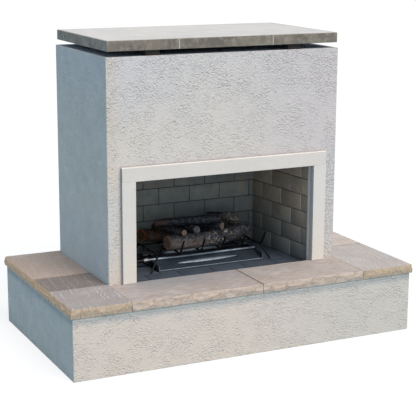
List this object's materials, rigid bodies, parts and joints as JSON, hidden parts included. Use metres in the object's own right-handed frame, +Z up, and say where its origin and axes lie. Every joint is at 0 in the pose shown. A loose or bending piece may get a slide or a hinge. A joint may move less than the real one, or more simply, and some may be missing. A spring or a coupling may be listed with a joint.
{
  "type": "outdoor fireplace",
  "caption": "Outdoor fireplace: a stucco tower under a raised flat cap, on a wide stone-topped hearth, with a brick firebox that holds a grate of gas logs over a burner pan.",
  "frame": {"origin": "on the ground, under the middle of the whole object in plan", "axes": "+X to the right of someone who faces the mouth, +Y away from them into the fireplace, +Z up"},
  "size_m": [2.396, 1.333, 1.959],
  "materials": {
    "stucco": "skip-trowelled, matt",
    "masonry": "rough block",
    "cement_board": "matt board",
    "coping_tan": "sawn top, split edges",
    "coping_grey": "sawn top, split edges",
    "surround_stone": "smooth cast stone",
    "firebrick": "matt, sooted",
    "flue_clay": "matt, sooted",
    "crown_mortar": "floated mortar",
    "cap_stone": "honed",
    "cap_tile": "mottled",
    "blackened_steel": "heat-proof black",
    "pan_steel": "dark sheet",
    "plated_fitting": "bright plated",
    "valve_brass": "turned brass",
    "lever_red": "red dipped",
    "bark_dark": "charred cast refractory",
    "bark_brown": "charred cast refractory"
  },
  "bodies": {
    "fireplace": {"hearth_core": "masonry", "hearth_stucco": "stucco", "coping_left_rear": "coping_tan", "coping_left_middle": "coping_grey", "coping_front_left": "coping_tan", "coping_front_right": "coping_grey", "coping_right_rear": "coping_tan", "coping_back_strip": "coping_grey", "coping_left_corner": "coping_grey", "coping_right_corner": "coping_tan", "tower_core_left": "masonry", "tower_core_right": "masonry", "tower_core_rear": "masonry", "smoke_chamber_left": "masonry", "smoke_chamber_right": "masonry", "smoke_chamber_front": "masonry", "smoke_chamber_rear": "masonry", "header_block": "masonry", "flue_surround": "masonry", "flue_liner": "flue_clay", "tower_crown": "crown_mortar", "front_panel": "cement_board", "tower_stucco": "stucco", "surround_left_jamb": "surround_stone", "surround_right_jamb": "surround_stone", "surround_lintel": "surround_stone", "firebox_rear_wall": "firebrick", "firebox_left_wall": "firebrick", "firebox_right_wall": "firebrick", "firebox_floor": "firebrick", "lintel_bar": "blackened_steel", "cap_spacer_front_left": "crown_mortar", "cap_spacer_front_right": "crown_mortar", "cap_spacer_rear_left": "crown_mortar", "cap_spacer_rear_right": "crown_mortar", "cap_slab": "cap_stone", "cap_tile_front_left": "cap_tile", "cap_tile_front_middle": "cap_tile", "cap_tile_front_right": "cap_tile", "cap_tile_left": "cap_tile", "cap_tile_right": "cap_tile", "cap_tile_back": "cap_tile", "burner_pan": "pan_steel", "burner_tube_front": "pan_steel", "burner_tube_rear": "pan_steel", "burner_manifold": "pan_steel", "burner_coupling": "plated_fitting", "gas_pipe": "blackened_steel", "gas_wall_stub": "blackened_steel", "gas_valve_body": "valve_brass"},
    "valve_lever": {"gas_valve_lever": "lever_red"},
    "grate": {"grate": "blackened_steel", "log_front": "bark_dark", "log_rear": "bark_brown"},
    "bridge_logs": {"branch_left": "bark_dark", "branch_middle": "bark_brown", "branch_right": "bark_dark", "log_knob": "bark_brown"},
    "top_log": {"log_top": "bark_dark"}
  },
  "joints": [
    {"name": "valve_turn", "type": "hinge", "parent": "fireplace", "child": "valve_lever", "pos_m": [-0.51274, 0.0985, 0.4983], "axis": [0, 0, 1], "range_deg": [0, 90]},
    {"name": "grate_lift", "type": "slide", "parent": "fireplace", "child": "grate", "axis": [0, 0, 1], "range_m": [0, 0.12]},
    {"name": "bridge_lift", "type": "slide", "parent": "grate", "child": "bridge_logs", "axis": [0, 0, 1], "range_m": [0, 0.12]},
    {"name": "top_lift", "type": "slide", "parent": "bridge_logs", "child": "top_log", "axis": [0, 0, 1], "range_m": [0, 0.12]}
  ]
}
